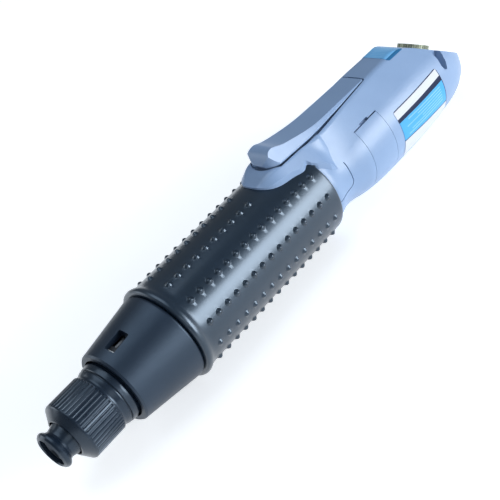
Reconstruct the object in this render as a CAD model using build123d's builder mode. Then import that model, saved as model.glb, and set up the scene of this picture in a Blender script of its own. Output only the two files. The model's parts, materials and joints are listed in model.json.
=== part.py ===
from build123d import *
import os
from math import sin, cos, tan, pi, radians, degrees, sqrt, acos, atan2, hypot

os.makedirs("parts", exist_ok=True)

# Electric torque screwdriver, millimetres.
# Origin: centre of the bit collar's mouth. +X out of the bit socket,
# +Z up through the start lever, +Y towards the side with the large label.

# ---------------------------------------------------------------- driving sizes
BIT_AF = 6.4            # hex socket across flats, for a 6.35 mm hex bit
SOCKET_FRONT = -1.5     # front face of the bit holder
SOCKET_DEEP = -17.0     # bottom of the hex socket
COLLAR_R = 7.5          # bit collar lip radius
COLLAR_TRAVEL = 3.0
NUT_R = 12.0            # fluted barrel of the torque nut
NUT_FLUTES = 48
NUT_TRAVEL = 5.0
NOSE_FRONT = -30.5
NOSE_REAR = -57.6
SLEEVE_FRONT = -57.8
SLEEVE_REAR = -141.5
SLEEVE_R = 19.3
SLEEVE_IN = 17.3
LIP_R = 20.4
DOT_PITCH = 5.0
DOT_FIRST = -66.1
DOT_COUNT = 15
DOT_ROWS = 12
DOT_TOP = 20.3          # radius at the crown of a dot
GEAR_M = 0.6            # gear module
SUN_N, PLANET_N, RING_N = 12, 15, 42
GEAR_CD = GEAR_M * (SUN_N + PLANET_N) / 2
PRESSURE_ANGLE = 25.0
BACKLASH = 0.06         # taken off each tooth's thickness
RING_R = 15.5
MOTOR_R = 13.5
SHELL_FRONT = -141.6
BAND_FRONT, BAND_REAR = -165.4, -179.6      # brush cover band
BAND_R = 17.7
BAND_AZ = 45.0
SLOPE_K, SLOPE_C = 0.74, 178.95             # tail slope plane: z = SLOPE_K * x + SLOPE_C
LEVER_PIVOT = (-186.0, 18.6)
LEVER_PRESS = 2.4       # degrees
SCREWS = [(-197.0, 14.3), (-197.0, -14.3), (-229.0, -8.5)]

ROOT2 = sqrt(2.0)


def half_section(r, zt, w, c):
    """Corner points of the +Y half of a barrel section of radius r with a flat ridge at
    height zt, half width w and corner radius c: crown, corner arc, barrel arc, keel."""
    cy, cz = w - c, zt - c
    lean = atan2(cy, cz) + acos((r - c) / hypot(cy, cz))
    mid = (lean + pi) / 2
    return [(0.0, zt), (cy, zt), (cy + c * sin(lean / 2), cz + c * cos(lean / 2)),
            (cy + c * sin(lean), cz + c * cos(lean)), (r * sin(lean), r * cos(lean)),
            (r * sin(mid), r * cos(mid)), (0.0, -r)]


def gear_outline(teeth, addendum, dedendum, thicker):
    """Involute outline with a tooth centred on the first local axis."""
    rp = GEAR_M * teeth / 2
    pa = radians(PRESSURE_ANGLE)
    rb = rp * cos(pa)
    ra, rf = rp + addendum, rp - dedendum
    inv = lambda a: tan(a) - a
    half = pi / (2 * teeth) + thicker / (2 * rp)

    def half_angle(r):
        if r <= rb:
            return half + inv(pa)
        return half + inv(pa) - inv(acos(rb / r))

    start = max(rb, rf)
    flank = [start + (ra - start) * k / 4 for k in range(5)]
    pts = []
    for n in range(teeth):
        mid = 2 * pi * n / teeth
        pts.append((rf, mid - half_angle(start)))
        if start - rf < 1e-6:
            pts.pop()
        for r in flank:
            pts.append((r, mid - half_angle(r)))
        for r in reversed(flank):
            pts.append((r, mid + half_angle(r)))
        if start - rf > 1e-6:
            pts.append((rf, mid + half_angle(start)))
    return [(r * cos(a), r * sin(a)) for r, a in pts]


# ================================================================ front end
with BuildPart() as bit_collar:
    with BuildSketch(Plane.XZ):
        with BuildLine():
            Polyline((0.0, 6.0), (-0.5, 6.9), (-1.2, 7.4), (-1.9, 7.5), (-2.6, 7.1), (-3.3, 6.3),
                     (-4.2, 5.95), (-5.2, 6.15), (-6.4, 6.5), (-7.4, 6.8), (-13.0, 6.8), (-13.0, 6.05),
                     (-9.2, 6.05), (-9.2, 4.95), (-3.5, 4.95), (-3.5, 5.6), (-0.5, 5.6), close=True)
        make_face()
    revolve(axis=Axis.X)
bit_collar.part.label = "bit_collar"
export_step(bit_collar.part, "parts/bit_collar.step")

with BuildPart() as bit_holder:
    with BuildSketch(Plane.XZ):
        with BuildLine():
            Polyline((SOCKET_FRONT, 0.0), (SOCKET_FRONT, 4.5), (-1.9, 4.9), (-2.65, 4.9), (-2.65, 4.3),
                     (-3.4, 4.3), (-3.4, 4.9), (-17.5, 4.9), (-17.5, 6.5), (-19.2, 6.5), (-19.2, 4.0),
                     (-33.0, 4.0), (-33.0, 0.0), close=True)
        make_face()
    revolve(axis=Axis.X)
    with BuildSketch(Plane.YZ.offset(SOCKET_DEEP)):
        RegularPolygon(BIT_AF / 2, 6, major_radius=False)
    extrude(amount=SOCKET_FRONT - SOCKET_DEEP + 1, mode=Mode.SUBTRACT)
    # lead-in cone of the socket
    with BuildSketch(Plane.XZ):
        with BuildLine():
            Polyline((SOCKET_FRONT + 0.1, 0.0), (SOCKET_FRONT + 0.1, 4.2), (SOCKET_FRONT - 1.0, 3.2),
                     (SOCKET_FRONT - 1.0, 0.0), close=True)
        make_face()
    revolve(axis=Axis.X, mode=Mode.SUBTRACT)
    # detent ball holes and shaft bore
    with BuildSketch(Plane.XZ.offset(-6)):
        with Locations((-5.0, 0.0)):
            Circle(1.02)
    extrude(amount=12, mode=Mode.SUBTRACT)
    with BuildSketch(Plane.YZ.offset(-33.0)):
        Circle(2.5)
    extrude(amount=11.0, mode=Mode.SUBTRACT)
bit_holder.part.label = "bit_holder"
export_step(bit_holder.part, "parts/bit_holder.step")

with BuildPart() as detent_balls:
    with Locations((-5.0, 3.8, 0.0), (-5.0, -3.8, 0.0)):
        Sphere(1.0)
detent_balls.part.label = "detent_balls"
export_step(detent_balls.part, "parts/detent_balls.step")

with BuildPart() as retaining_ring:
    with BuildSketch(Plane.YZ.offset(-3.35)):
        Circle(5.35)
        Circle(4.35, mode=Mode.SUBTRACT)
        with Locations((0.0, -5.0)):
            Rectangle(1.6, 4.0, mode=Mode.SUBTRACT)
    extrude(amount=0.6)
retaining_ring.part.label = "retaining_ring"
export_step(retaining_ring.part, "parts/retaining_ring.step")

with BuildPart() as collar_spring:
    with BuildLine() as collar_coil:
        Helix(1.45, 7.25, 5.5, center=(-9.65, 0, 0), direction=(-1, 0, 0))
    with BuildSketch(Plane(origin=collar_coil.line @ 0, z_dir=collar_coil.line % 0)):
        Circle(0.3)
    sweep(path=collar_coil.line, is_frenet=True)
collar_spring.part.label = "collar_spring"
export_step(collar_spring.part, "parts/collar_spring.step")

with BuildPart() as torque_nut:
    with BuildSketch(Plane.XZ):
        with BuildLine():
            Polyline((-7.0, 7.4), (-7.0, 8.1), (-7.3, 8.4), (-9.5, 11.7), (-10.0, NUT_R), (-23.4, NUT_R),
                     (-23.8, 11.5), (-24.6, 11.5), (-26.4, 12.1), (-26.6, 12.1), (-26.7, 11.7), (-27.1, 11.7),
                     (-27.2, 12.3), (-29.4, 12.5), (-30.0, 12.3), (-30.3, 11.9), (-36.0, 11.9), (-36.0, 9.08),
                     (-9.5, 9.08), (-9.5, 7.4), close=True)
        make_face()
    revolve(axis=Axis.X)
    # straight flutes round the barrel
    with BuildSketch(Plane.YZ.offset(-23.3)):
        with PolarLocations(NUT_R + 0.12, NUT_FLUTES):
            Circle(0.5)
    extrude(amount=13.1, mode=Mode.SUBTRACT)
torque_nut.part.label = "torque_nut"
export_step(torque_nut.part, "parts/torque_nut.step")

with BuildPart() as front_bush:
    with BuildSketch(Plane.YZ.offset(-26.0)):
        Circle(6.6)
        Circle(4.05, mode=Mode.SUBTRACT)
    extrude(amount=6.2)
front_bush.part.label = "front_bush"
export_step(front_bush.part, "parts/front_bush.step")

with BuildPart() as nose_housing:
    with BuildSketch(Plane.XZ):
        with BuildLine():
            Polyline((NOSE_FRONT, 13.0), (NOSE_FRONT, 14.6), (-31.2, 15.2), (-44.0, 16.95), (-56.4, 18.7),
                     (-57.0, 18.6), (NOSE_REAR, 18.1), (NOSE_REAR, 15.55), (-66.0, 15.55), (-66.0, 13.9),
                     (-47.6, 13.9), (-47.6, 5.2), (-26.0, 5.2), (-26.0, 6.6), (-19.5, 6.6), (-19.5, 8.7),
                     (-19.9, 9.0), (-44.6, 9.0), (-44.6, 13.8), (-34.2, 13.8), (-34.2, 13.0), close=True)
        make_face()
    revolve(axis=Axis.X)
    # three holes in the web for the pusher pins
    with BuildSketch(Plane.YZ.offset(-48.0)):
        with PolarLocations(11.5, 3, start_angle=-30):
            Circle(1.5)
    extrude(amount=4.0, mode=Mode.SUBTRACT)
    # scale window, a little towards the label side of the top
    with BuildSketch(Plane.XY.rotated((-11.0, 0, 0)).offset(12.0)):
        with Locations((-39.3, 0.0)):
            RectangleRounded(8.2, 4.6, 0.4)
    extrude(amount=8.0, mode=Mode.SUBTRACT)
nose_housing.part.label = "nose_housing"
export_step(nose_housing.part, "parts/nose_housing.step")

# ================================================================ torque clutch
with BuildPart() as spring_seat:
    with BuildSketch(Plane.XZ):
        with BuildLine():
            Polyline((-34.6, 12.1), (-34.6, 13.5), (-35.5, 13.5), (-35.5, 13.15), (-36.6, 13.15), (-36.6, 13.5),
                     (-38.4, 13.5), (-38.4, 9.3), (-36.4, 9.3), (-36.4, 12.1), close=True)
        make_face()
    revolve(axis=Axis.X)
spring_seat.part.label = "spring_seat"
export_step(spring_seat.part, "parts/spring_seat.step")

with BuildPart() as torque_indicator:
    with BuildSketch(Plane.YZ.offset(-36.55)):
        Circle(13.55)
        Circle(13.2, mode=Mode.SUBTRACT)
    extrude(amount=1.0)
torque_indicator.part.label = "torque_indicator"
export_step(torque_indicator.part, "parts/torque_indicator.step")

with BuildPart() as pusher_pins:
    with BuildSketch(Plane.YZ.offset(-50.0)):
        with PolarLocations(11.5, 3, start_angle=-30):
            Circle(1.3)
    extrude(amount=11.55)
pusher_pins.part.label = "pusher_pins"
export_step(pusher_pins.part, "parts/pusher_pins.step")

with BuildPart() as pressure_ring:
    with BuildSketch(Plane.YZ.offset(-51.6)):
        Circle(13.6)
        Circle(9.4, mode=Mode.SUBTRACT)
    extrude(amount=1.55)
pressure_ring.part.label = "pressure_ring"
export_step(pressure_ring.part, "parts/pressure_ring.step")

with BuildPart() as clutch_spring:
    with BuildLine() as clutch_coil:
        Helix(3.4, 10.2, 11.6, center=(-52.65, 0, 0), direction=(-1, 0, 0))
    with BuildSketch(Plane(origin=clutch_coil.line @ 0, z_dir=clutch_coil.line % 0)):
        Circle(0.9)
    sweep(path=clutch_coil.line, is_frenet=True)
clutch_spring.part.label = "clutch_spring"
export_step(clutch_spring.part, "parts/clutch_spring.step")

with BuildPart() as clutch_plate:
    with BuildSketch(Plane.YZ.offset(-66.6)):
        Circle(13.6)
        Circle(9.0, mode=Mode.SUBTRACT)
    extrude(amount=2.5)
    with BuildSketch(Plane.YZ.offset(-66.6)):
        with PolarLocations(11.3, 6):
            Circle(1.25)
    extrude(amount=0.8, mode=Mode.SUBTRACT)
clutch_plate.part.label = "clutch_plate"
export_step(clutch_plate.part, "parts/clutch_plate.step")

with BuildPart() as clutch_balls:
    with Locations(*[(-67.55, 11.3 * cos(radians(60 * k)), 11.3 * sin(radians(60 * k))) for k in range(6)]):
        Sphere(1.5)
clutch_balls.part.label = "clutch_balls"
export_step(clutch_balls.part, "parts/clutch_balls.step")

# ================================================================ gearbox
with BuildPart() as ring_gear:
    with BuildSketch(Plane.XZ):
        with BuildLine():
            Polyline((-68.6, 7.0), (-68.6, RING_R), (-104.0, RING_R), (-104.0, 9.0), (-83.4, 9.0), (-83.4, 13.9),
                     (-79.8, 13.9), (-79.8, 6.5), (-72.6, 6.5), (-72.6, 7.0), close=True)
        make_face()
    revolve(axis=Axis.X)
    with BuildSketch(Plane.YZ.offset(-79.8)):
        Circle(9.0)
    extrude(amount=7.2, mode=Mode.SUBTRACT)
    with BuildSketch(Plane.YZ.offset(-104.5)):
        with BuildLine():
            Polyline(*gear_outline(RING_N, 1.0 * GEAR_M, 0.8 * GEAR_M, BACKLASH), close=True)
        make_face()
    extrude(amount=21.2, mode=Mode.SUBTRACT)
    with BuildSketch(Plane.YZ.offset(-69.6)):
        with PolarLocations(11.3, 6):
            Circle(1.1)
    extrude(amount=1.2, mode=Mode.SUBTRACT)
ring_gear.part.label = "ring_gear"
export_step(ring_gear.part, "parts/ring_gear.step")

with BuildPart() as spindle_bearing:
    with BuildSketch(Plane.XZ):
        with BuildLine():
            Polyline((-73.0, 8.98), (-78.0, 8.98), (-78.0, 7.6), (-76.6, 7.6), (-76.2, 7.85), (-74.8, 7.85),
                     (-74.4, 7.6), (-73.0, 7.6), close=True)
        make_face()
    revolve(axis=Axis.X)
    with Locations(*[(-75.5, 6.5 * cos(radians(36 * k)), 6.5 * sin(radians(36 * k))) for k in range(10)]):
        Sphere(1.3)
spindle_bearing.part.label = "spindle_bearing"
export_step(spindle_bearing.part, "parts/spindle_bearing.step")

with BuildPart() as bearing_inner_race:
    with BuildSketch(Plane.XZ):
        with BuildLine():
            Polyline((-73.0, 4.02), (-78.0, 4.02), (-78.0, 5.4), (-76.6, 5.4), (-76.2, 5.15), (-74.8, 5.15),
                     (-74.4, 5.4), (-73.0, 5.4), close=True)
        make_face()
    revolve(axis=Axis.X)
bearing_inner_race.part.label = "bearing_inner_race"
export_step(bearing_inner_race.part, "parts/bearing_inner_race.step")

with BuildPart() as output_shaft:
    with BuildSketch(Plane.XZ):
        with BuildLine():
            Polyline((-22.6, 0.0), (-22.6, 2.45), (-33.02, 2.45), (-33.02, 4.0), (-80.4, 4.0), (-80.4, 11.2),
                     (-83.9, 11.2), (-83.9, 0.0), close=True)
        make_face()
    revolve(axis=Axis.X)
    with BuildSketch(Plane.YZ.offset(-84.0)):
        with PolarLocations(GEAR_CD, 3):
            Circle(1.5)
    extrude(amount=3.0, mode=Mode.SUBTRACT)
output_shaft.part.label = "output_shaft"
export_step(output_shaft.part, "parts/output_shaft.step")

with BuildPart() as second_stage_pins:
    with BuildSketch(Plane.YZ.offset(-91.4)):
        with PolarLocations(GEAR_CD, 3):
            Circle(1.48)
    extrude(amount=10.3)
second_stage_pins.part.label = "second_stage_pins"
export_step(second_stage_pins.part, "parts/second_stage_pins.step")

planet_points = gear_outline(PLANET_N, 0.8 * GEAR_M, 1.0 * GEAR_M, -BACKLASH)
planet_seats = [(GEAR_CD * cos(radians(120 * k)), GEAR_CD * sin(radians(120 * k)), 120 * k) for k in range(3)]

with BuildPart() as second_planet_a:
    with BuildSketch(Plane.YZ.offset(-91.3)):
        with Locations(Location((planet_seats[0][0], planet_seats[0][1]), planet_seats[0][2])):
            with BuildLine(mode=Mode.PRIVATE) as tooth_line:
                Polyline(*planet_points, close=True)
            add(make_face(tooth_line.line, mode=Mode.PRIVATE))
            Circle(1.54, mode=Mode.SUBTRACT)
    extrude(amount=7.1)
second_planet_a.part.label = "second_planet_a"
export_step(second_planet_a.part, "parts/second_planet_a.step")

with BuildPart() as second_planet_b:
    with BuildSketch(Plane.YZ.offset(-91.3)):
        with Locations(Location((planet_seats[1][0], planet_seats[1][1]), planet_seats[1][2])):
            with BuildLine(mode=Mode.PRIVATE) as tooth_line:
                Polyline(*planet_points, close=True)
            add(make_face(tooth_line.line, mode=Mode.PRIVATE))
            Circle(1.54, mode=Mode.SUBTRACT)
    extrude(amount=7.1)
second_planet_b.part.label = "second_planet_b"
export_step(second_planet_b.part, "parts/second_planet_b.step")

with BuildPart() as second_planet_c:
    with BuildSketch(Plane.YZ.offset(-91.3)):
        with Locations(Location((planet_seats[2][0], planet_seats[2][1]), planet_seats[2][2])):
            with BuildLine(mode=Mode.PRIVATE) as tooth_line:
                Polyline(*planet_points, close=True)
            add(make_face(tooth_line.line, mode=Mode.PRIVATE))
            Circle(1.54, mode=Mode.SUBTRACT)
    extrude(amount=7.1)
second_planet_c.part.label = "second_planet_c"
export_step(second_planet_c.part, "parts/second_planet_c.step")

with BuildPart() as first_planet_a:
    with BuildSketch(Plane.YZ.offset(-102.8)):
        with Locations(Location((planet_seats[0][0], planet_seats[0][1]), planet_seats[0][2])):
            with BuildLine(mode=Mode.PRIVATE) as tooth_line:
                Polyline(*planet_points, close=True)
            add(make_face(tooth_line.line, mode=Mode.PRIVATE))
            Circle(1.54, mode=Mode.SUBTRACT)
    extrude(amount=6.4)
first_planet_a.part.label = "first_planet_a"
export_step(first_planet_a.part, "parts/first_planet_a.step")

with BuildPart() as first_planet_b:
    with BuildSketch(Plane.YZ.offset(-102.8)):
        with Locations(Location((planet_seats[1][0], planet_seats[1][1]), planet_seats[1][2])):
            with BuildLine(mode=Mode.PRIVATE) as tooth_line:
                Polyline(*planet_points, close=True)
            add(make_face(tooth_line.line, mode=Mode.PRIVATE))
            Circle(1.54, mode=Mode.SUBTRACT)
    extrude(amount=6.4)
first_planet_b.part.label = "first_planet_b"
export_step(first_planet_b.part, "parts/first_planet_b.step")

with BuildPart() as first_planet_c:
    with BuildSketch(Plane.YZ.offset(-102.8)):
        with Locations(Location((planet_seats[2][0], planet_seats[2][1]), planet_seats[2][2])):
            with BuildLine(mode=Mode.PRIVATE) as tooth_line:
                Polyline(*planet_points, close=True)
            add(make_face(tooth_line.line, mode=Mode.PRIVATE))
            Circle(1.54, mode=Mode.SUBTRACT)
    extrude(amount=6.4)
first_planet_c.part.label = "first_planet_c"
export_step(first_planet_c.part, "parts/first_planet_c.step")

sun_points = gear_outline(SUN_N, 0.8 * GEAR_M, 1.0 * GEAR_M, -BACKLASH)

with BuildPart() as first_carrier:
    with BuildSketch(Plane.YZ.offset(-96.0)):
        Circle(11.2)
        with PolarLocations(GEAR_CD, 3):
            Circle(1.5, mode=Mode.SUBTRACT)
    extrude(amount=2.6)
    with BuildSketch(Plane.YZ.offset(-93.4)):
        with BuildLine():
            Polyline(*sun_points, close=True)
        make_face()
    extrude(amount=9.1)
first_carrier.part.label = "first_carrier"
export_step(first_carrier.part, "parts/first_carrier.step")

with BuildPart() as first_stage_pins:
    with BuildSketch(Plane.YZ.offset(-102.9)):
        with PolarLocations(GEAR_CD, 3):
            Circle(1.48)
    extrude(amount=9.4)
first_stage_pins.part.label = "first_stage_pins"
export_step(first_stage_pins.part, "parts/first_stage_pins.step")

# ================================================================ motor
with BuildPart() as motor_pinion:
    with BuildSketch(Plane.YZ.offset(-103.6)):
        with BuildLine():
            Polyline(*sun_points, close=True)
        make_face()
        Circle(1.5, mode=Mode.SUBTRACT)
    extrude(amount=7.0)
motor_pinion.part.label = "motor_pinion"
export_step(motor_pinion.part, "parts/motor_pinion.step")

with BuildPart() as motor_can:
    with BuildSketch(Plane.XZ):
        with BuildLine():
            Polyline((-105.5, 3.0), (-105.5, 12.9), (-106.1, MOTOR_R), (-166.0, MOTOR_R), (-166.0, 12.6),
                     (-107.3, 12.6), (-107.3, 3.0), close=True)
        make_face()
    revolve(axis=Axis.X)
    with BuildSketch(Plane.YZ.offset(-108.0)):
        with PolarLocations(8.2, 6):
            Circle(1.6)
    extrude(amount=3.0, mode=Mode.SUBTRACT)
motor_can.part.label = "motor_can"
export_step(motor_can.part, "parts/motor_can.step")

with BuildPart() as motor_bushes:
    with BuildSketch(Plane.YZ.offset(-109.0)):
        Circle(3.0)
        Circle(1.54, mode=Mode.SUBTRACT)
    extrude(amount=3.5)
    with BuildSketch(Plane.YZ.offset(-184.2)):
        Circle(3.0)
        Circle(1.54, mode=Mode.SUBTRACT)
    extrude(amount=3.5)
motor_bushes.part.label = "motor_bushes"
export_step(motor_bushes.part, "parts/motor_bushes.step")

with BuildPart() as field_magnets:
    with BuildSketch(Plane.YZ.offset(-158.0)):
        Circle(12.55)
        Circle(10.4, mode=Mode.SUBTRACT)
        Rectangle(11.0, 30.0, mode=Mode.SUBTRACT)
    extrude(amount=46.0)
field_magnets.part.label = "field_magnets"
export_step(field_magnets.part, "parts/field_magnets.step")

with BuildPart() as motor_shaft:
    with BuildSketch(Plane.YZ.offset(-184.6)):
        Circle(1.48)
    extrude(amount=87.8)
motor_shaft.part.label = "motor_shaft"
export_step(motor_shaft.part, "parts/motor_shaft.step")

with BuildPart() as rotor_core:
    with BuildSketch(Plane.YZ.offset(-156.0)):
        Circle(9.9)
        with PolarLocations(7.0, 12):
            Rectangle(3.6, 2.4, mode=Mode.SUBTRACT)
        with PolarLocations(9.4, 12):
            Rectangle(1.6, 1.0, mode=Mode.SUBTRACT)
        Circle(1.5, mode=Mode.SUBTRACT)
    extrude(amount=42.0)
rotor_core.part.label = "rotor_core"
export_step(rotor_core.part, "parts/rotor_core.step")

with BuildPart() as rotor_windings:
    with BuildSketch(Plane.YZ.offset(-156.3)):
        with PolarLocations(7.0, 12):
            Rectangle(3.3, 2.1)
    extrude(amount=42.6)
    with BuildSketch(Plane.XZ):
        with BuildLine():
            Polyline((-113.8, 4.2), (-113.8, 9.3), (-112.2, 9.5), (-110.4, 8.4), (-109.8, 6.4), (-110.6, 4.4),
                     (-112.0, 4.0), close=True)
        make_face()
        with BuildLine():
            Polyline((-156.2, 4.2), (-156.2, 9.3), (-158.4, 9.5), (-161.0, 8.4), (-161.8, 6.4), (-161.0, 4.4),
                     (-159.0, 4.0), close=True)
        make_face()
    revolve(axis=Axis.X)
rotor_windings.part.label = "rotor_windings"
export_step(rotor_windings.part, "parts/rotor_windings.step")

with BuildPart() as commutator:
    with BuildSketch(Plane.XZ):
        with BuildLine():
            Polyline((-165.0, 1.5), (-165.0, 3.6), (-168.3, 3.6), (-168.3, 5.2), (-169.2, 5.2), (-169.2, 4.4),
                     (-177.5, 4.4), (-177.5, 3.2), (-179.0, 3.2), (-179.0, 1.5), close=True)
        make_face()
    revolve(axis=Axis.X)
    with BuildSketch(Plane.YZ.offset(-177.6)):
        with PolarLocations(4.9, 12, start_angle=15):
            Rectangle(1.6, 0.3)
    extrude(amount=9.4, mode=Mode.SUBTRACT)
commutator.part.label = "commutator"
export_step(commutator.part, "parts/commutator.step")

with BuildPart() as motor_end_cap:
    with BuildSketch(Plane.XZ):
        with BuildLine():
            Polyline((-166.05, 11.6), (-166.05, MOTOR_R), (-183.6, MOTOR_R), (-184.2, 12.9), (-184.2, 3.0),
                     (-180.8, 3.0), (-180.8, 11.6), close=True)
        make_face()
    revolve(axis=Axis.X)
    with BuildSketch(Plane.XZ.offset(-17.3)):
        with Locations((-173.0, 0.0)):
            Circle(3.9)
    extrude(amount=34.6)
    with BuildSketch(Plane.YZ.offset(-178.0)):
        Circle(5.8)
    extrude(amount=10.0, mode=Mode.SUBTRACT)
    with BuildSketch(Plane.XZ.offset(-20.0)):
        with Locations((-173.0, 0.0)):
            Rectangle(4.2, 4.2)
    extrude(amount=40.0, mode=Mode.SUBTRACT)
    with BuildSketch(Plane.XZ.offset(-20.0)):
        with Locations((-173.0, 0.0)):
            Circle(3.2)
    extrude(amount=5.2, mode=Mode.SUBTRACT)
    with BuildSketch(Plane.XZ.offset(14.8)):
        with Locations((-173.0, 0.0)):
            Circle(3.2)
    extrude(amount=5.2, mode=Mode.SUBTRACT)
motor_end_cap.part.label = "motor_end_cap"
export_step(motor_end_cap.part, "parts/motor_end_cap.step")

with BuildPart() as carbon_brushes:
    with Locations((-173.0, 7.75, 0.0), (-173.0, -7.75, 0.0)):
        Box(4.0, 6.5, 4.0)
carbon_brushes.part.label = "carbon_brushes"
export_step(carbon_brushes.part, "parts/carbon_brushes.step")

with BuildPart() as brush_springs:
    with BuildLine() as brush_coil_left:
        Helix(0.85, 3.4, 1.5, center=(-173.0, 11.3, 0), direction=(0, 1, 0))
    with BuildSketch(Plane(origin=brush_coil_left.line @ 0, z_dir=brush_coil_left.line % 0)):
        Circle(0.2)
    sweep(path=brush_coil_left.line, is_frenet=True)
    with BuildLine() as brush_coil_right:
        Helix(0.85, 3.4, 1.5, center=(-173.0, -11.3, 0), direction=(0, -1, 0))
    with BuildSketch(Plane(origin=brush_coil_right.line @ 0, z_dir=brush_coil_right.line % 0)):
        Circle(0.2)
    sweep(path=brush_coil_right.line, is_frenet=True)
brush_springs.part.label = "brush_springs"
export_step(brush_springs.part, "parts/brush_springs.step")

with BuildPart() as brush_caps:
    with BuildSketch(Plane.XZ.offset(-17.3)):
        with Locations((-173.0, 0.0)):
            Circle(3.15)
            Rectangle(5.0, 0.9, mode=Mode.SUBTRACT)
    extrude(amount=1.0)
    with BuildSketch(Plane.XZ.offset(-16.3)):
        with Locations((-173.0, 0.0)):
            Circle(3.15)
    extrude(amount=1.2)
    with BuildSketch(Plane.XZ.offset(15.1)):
        with Locations((-173.0, 0.0)):
            Circle(3.15)
    extrude(amount=1.2)
    with BuildSketch(Plane.XZ.offset(16.3)):
        with Locations((-173.0, 0.0)):
            Circle(3.15)
            Rectangle(5.0, 0.9, mode=Mode.SUBTRACT)
    extrude(amount=1.0)
brush_caps.part.label = "brush_caps"
export_step(brush_caps.part, "parts/brush_caps.step")

# ================================================================ grip
with BuildPart() as inner_housing:
    with BuildSketch(Plane.XZ):
        with BuildLine():
            Polyline((-57.65, 15.6), (-57.65, 17.25), (-141.5, 17.25), (-141.5, 15.6), (-133.0, 15.6),
                     (-133.0, 13.55), (-130.0, 13.55), (-130.0, 15.6), (-111.0, 15.6), (-111.0, 13.55),
                     (-108.0, 13.55), (-108.0, 15.6), close=True)
        make_face()
    revolve(axis=Axis.X)
inner_housing.part.label = "inner_housing"
export_step(inner_housing.part, "parts/inner_housing.step")

with BuildPart() as grip_sleeve:
    with BuildSketch(Plane.XZ):
        with BuildLine():
            Polyline((SLEEVE_FRONT, SLEEVE_IN), (SLEEVE_FRONT, 19.3), (-58.0, 19.9), (-58.5, LIP_R - 0.12),
                     (-59.2, LIP_R), (-60.0, LIP_R - 0.12), (-60.8, 20.0), (-61.6, 19.6), (-62.6, 19.35),
                     (-63.6, SLEEVE_R), (-140.8, SLEEVE_R), (-141.3, 19.1), (SLEEVE_REAR, 18.7),
                     (SLEEVE_REAR, SLEEVE_IN), close=True)
        make_face()
    revolve(axis=Axis.X)
    # twelve rows of domed dots; the two rows beside the lever stop at the housing's tongue
    with Locations(*[(DOT_FIRST - DOT_PITCH * i, 19.1 * sin(radians(15 + 30 * j)), 19.1 * cos(radians(15 + 30 * j)))
                     for j in range(DOT_ROWS) for i in range(DOT_COUNT)
                     if not (j in (0, DOT_ROWS - 1) and i > 9)]):
        Sphere(DOT_TOP - 19.1)
grip_sleeve.part.label = "grip_sleeve"
export_step(grip_sleeve.part, "parts/grip_sleeve.step")

# ================================================================ rear housing
# outer stations: x, barrel radius, ridge height, ridge half width, ridge corner radius
OUTER = [(-141.6, 17.3, 22.0, 8.9, 3.2), (-147.0, 16.9, 21.55, 8.8, 3.2), (-154.0, 16.4, 21.2, 8.7, 3.2),
         (-161.0, 17.9, 21.3, 8.7, 3.2), (-170.0, 19.2, 21.7, 8.6, 3.2), (-179.0, 19.65, 22.1, 8.4, 3.2),
         (-188.0, 19.8, 22.4, 8.1, 3.2), (-200.0, 19.9, 22.2, 7.8, 3.2), (-209.0, 19.6, 22.1, 7.5, 3.2),
         (-216.0, 19.2, 21.9, 7.3, 3.2), (-222.0, 18.7, 21.2, 7.1, 3.2), (-227.0, 18.1, 20.4, 6.9, 3.2),
         (-232.0, 16.9, 18.9, 6.5, 3.2), (-236.0, 15.2, 17.0, 6.0, 3.0)]
INNER = [(-143.5, 14.0, 18.3, 6.2, 2.5), (-150.0, 14.0, 18.3, 6.2, 2.5), (-157.0, 14.1, 18.3, 6.2, 2.5),
         (-165.0, 15.5, 18.6, 6.2, 2.5), (-173.0, 15.8, 19.0, 6.2, 2.5), (-181.0, 15.8, 19.4, 6.2, 2.5),
         (-188.0, 17.2, 19.7, 6.2, 2.5), (-197.0, 17.4, 19.7, 6.2, 2.5), (-207.0, 17.2, 19.5, 6.2, 2.5),
         (-217.0, 16.6, 18.9, 6.0, 2.5), (-226.0, 15.6, 17.8, 5.6, 2.5), (-233.0, 13.6, 15.6, 5.0, 2.5)]
# tongue stations: x, radius, rim height, rim half width
TONGUE = [(-117.0, 19.75, 19.85, 4.9), (-119.6, 19.75, 20.5, 5.6), (-122.0, 19.75, 21.7, 6.6),
          (-124.4, 19.75, 22.6, 7.5), (-127.0, 19.75, 23.0, 8.2), (-131.0, 19.75, 22.9, 8.7),
          (-136.0, 19.75, 22.45, 8.9), (-141.6, 19.75, 22.05, 8.9), (-147.0, 18.75, 21.5, 8.7), (-153.5, 16.0, 20.9, 8.3)]
FLAT_Z = -18.75         # shallow flat under the rear housing, clear of the surface it lies on

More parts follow.
